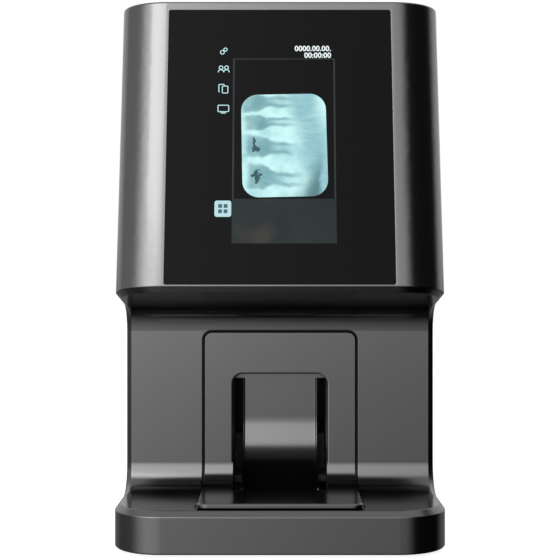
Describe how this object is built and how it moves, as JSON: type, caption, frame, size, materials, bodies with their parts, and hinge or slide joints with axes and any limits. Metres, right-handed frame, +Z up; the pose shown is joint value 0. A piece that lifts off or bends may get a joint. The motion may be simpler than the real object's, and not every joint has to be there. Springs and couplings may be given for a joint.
{
  "type": "phosphor plate scanner",
  "caption": "C-shaped desktop phosphor plate scanner with a leaning touch screen, a removable chute front and a lifter, rollers and optics inside.",
  "frame": {"origin": "on the table, under the middle of the casing", "axes": "+Z up, front and screen towards -Y, +X to the right seen from the front"},
  "size_m": [0.16, 0.2251, 0.2675],
  "materials": {
    "casing": "dark metallic grey paint, satin with a clear gloss",
    "screen_glass": "black printed cover glass",
    "screen_panel": "lit display panel",
    "dark_plastic": "black moulded plastic",
    "rubber": "soft black rubber",
    "roller_rubber": "ground grey rubber",
    "steel": "bright steel",
    "zinc_sheet": "zinc-plated sheet steel",
    "aluminium": "machined aluminium",
    "motor_can": "black lacquer",
    "brass": "turned brass",
    "nickel": "nickel plate",
    "circuit_board": "green solder mask",
    "component": "moulded component bodies",
    "optical_glass": "polished and coated",
    "mirror": "front-silvered",
    "acrylic": "clear polished acrylic",
    "erase_lamp": "white lamp bodies on their board"
  },
  "bodies": {
    "scanner": {"front_housing": "casing", "rear_housing": "casing", "bottom_plate": "zinc_sheet", "rubber_feet": "rubber", "bottom_screws": "steel", "rear_screws": "steel", "speaker": "component", "front_glass": "screen_glass", "glass_gasket": "rubber", "lcd_module": "screen_panel", "lcd_carrier": "dark_plastic", "display_board": "circuit_board", "catch_plates": "zinc_sheet", "chute_tongue": "casing", "chute_cheeks": "dark_plastic", "lifter_motor": "motor_can", "lifter_guide_rods": "steel", "lifter_end_plates": "aluminium", "roller_side_frames": "aluminium", "roller_bearings": "brass", "drive_belt": "rubber", "drive_motor": "motor_can", "motor_bracket": "zinc_sheet", "optics_base": "aluminium", "optics_mounts": "aluminium", "laser_module": "brass", "galvo_motor": "motor_can", "scan_lens": "optical_glass", "light_guide": "acrylic", "photomultiplier": "optical_glass", "tube_shield": "nickel", "erase_light": "erase_lamp", "plate_sensor": "component", "chassis": "zinc_sheet", "chassis_spacers": "steel", "main_board": "circuit_board", "power_board": "circuit_board", "board_components": "component", "board_standoffs": "brass", "fan_frame": "dark_plastic", "io_panel": "dark_plastic", "switch_bezel": "dark_plastic", "dc_inlet": "nickel", "data_sockets": "nickel"},
    "chute_front": {"front_insert": "casing", "insert_magnets": "nickel"},
    "plate_lifter": {"lifter_yoke": "dark_plastic", "lifter_nut": "brass", "lifter_fingers": "dark_plastic"},
    "lead_screw": {"lifter_screw": "steel"},
    "lower_drive": {"lower_drive_roller": "roller_rubber", "lower_pulley": "aluminium"},
    "upper_drive": {"upper_drive_roller": "roller_rubber", "upper_pulley": "aluminium"},
    "lower_idler": {"lower_idler_roller": "roller_rubber"},
    "upper_idler": {"upper_idler_roller": "roller_rubber"},
    "belt_motor_rotor": {"motor_pulley": "aluminium"},
    "scan_mirror": {"galvo_mirror": "mirror"},
    "cooling_fan": {"fan_rotor": "dark_plastic"},
    "rocker": {"power_switch": "dark_plastic"}
  },
  "joints": [
    {"name": "chute_front_pull", "type": "slide", "parent": "scanner", "child": "chute_front", "axis": [0, -1, 0], "range_m": [0, 0.06]},
    {"name": "plate_lift", "type": "slide", "parent": "scanner", "child": "plate_lifter", "axis": [0, 0, 1], "range_m": [0, 0.04]},
    {"name": "lead_screw_turn", "type": "hinge", "parent": "scanner", "child": "lead_screw", "pos_m": [0, -0.003, 0.06], "axis": [0, 0, 1], "range_deg": [0, 1800]},
    {"name": "lower_roller_spin", "type": "hinge", "parent": "scanner", "child": "lower_drive", "pos_m": [0, -0.0153, 0.095], "axis": [1, 0, 0], "continuous": true},
    {"name": "upper_roller_spin", "type": "hinge", "parent": "scanner", "child": "upper_drive", "pos_m": [0, -0.0153, 0.125], "axis": [1, 0, 0], "continuous": true},
    {"name": "lower_idler_spin", "type": "hinge", "parent": "scanner", "child": "lower_idler", "pos_m": [0, -0.0269, 0.095], "axis": [1, 0, 0], "continuous": true},
    {"name": "upper_idler_spin", "type": "hinge", "parent": "scanner", "child": "upper_idler", "pos_m": [0, -0.0269, 0.125], "axis": [1, 0, 0], "continuous": true},
    {"name": "belt_motor_spin", "type": "hinge", "parent": "scanner", "child": "belt_motor_rotor", "pos_m": [0, 0.014, 0.11], "axis": [1, 0, 0], "continuous": true},
    {"name": "mirror_scan", "type": "hinge", "parent": "scanner", "child": "scan_mirror", "pos_m": [0, 0.052, 0.11], "axis": [0, 0, 1], "range_deg": [-8, 8]},
    {"name": "fan_spin", "type": "hinge", "parent": "scanner", "child": "cooling_fan", "pos_m": [0, 0.104, 0.198], "axis": [0, 1, 0], "continuous": true},
    {"name": "power_rock", "type": "hinge", "parent": "scanner", "child": "rocker", "pos_m": [-0.04, 0.1043, 0.032], "axis": [1, 0, 0], "range_deg": [0, 20]}
  ],
  "couplings": [
    {"joint": "lead_screw_turn", "follows": "plate_lift", "rad_per_m": 785.4},
    {"joint": "upper_roller_spin", "follows": "lower_roller_spin", "ratio": 1},
    {"joint": "lower_idler_spin", "follows": "lower_roller_spin", "ratio": -1.2},
    {"joint": "upper_idler_spin", "follows": "lower_roller_spin", "ratio": -1.2},
    {"joint": "belt_motor_spin", "follows": "lower_roller_spin", "ratio": 1.5263}
  ]
}
